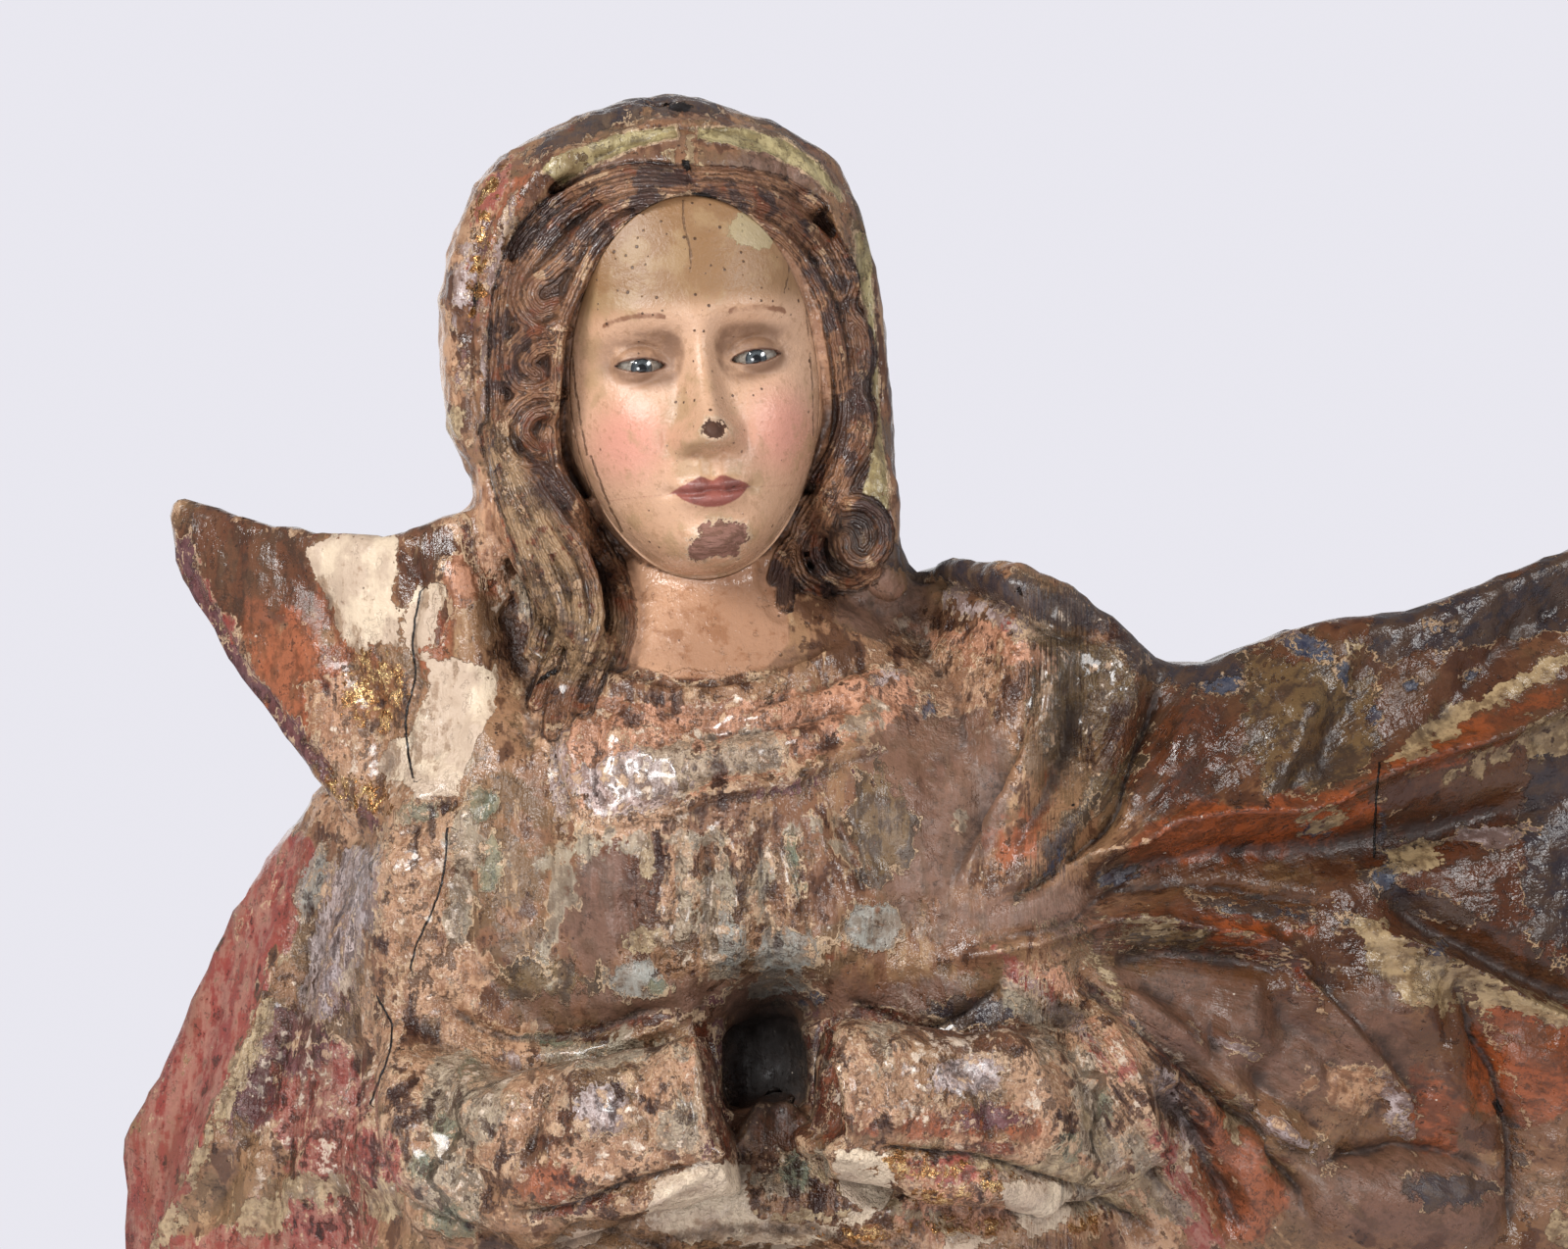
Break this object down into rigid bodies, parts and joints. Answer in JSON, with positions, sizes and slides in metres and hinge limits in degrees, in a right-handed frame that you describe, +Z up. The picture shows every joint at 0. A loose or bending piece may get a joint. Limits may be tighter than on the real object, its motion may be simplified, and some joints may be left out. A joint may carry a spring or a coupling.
{
  "type": "carved wooden madonna statue",
  "caption": "Standing veiled madonna of carved, gessoed and painted wood, mantle blown out to one side, hands lost, glass eyes, on a low base.",
  "frame": {"origin": "centre of the flat underside of the low base", "axes": "+Z up along the figure, -Y towards the front that the face looks to, +X towards the side where the mantle blows out"},
  "size_m": [0.3327, 0.1532, 0.6195],
  "materials": {
    "polychromed_wood": "aged painted gesso and gilding on carved wood, worn satin with dirt",
    "flesh_paint": "polished oil flesh paint on wood, satin gloss",
    "eye_glass": "polished painted-back glass, opaque"
  },
  "bodies": {
    "root": {"figure": "polychromed_wood", "face_mask": "flesh_paint", "eye_right": "eye_glass", "eye_left": "eye_glass"}
  },
  "joints": []
}
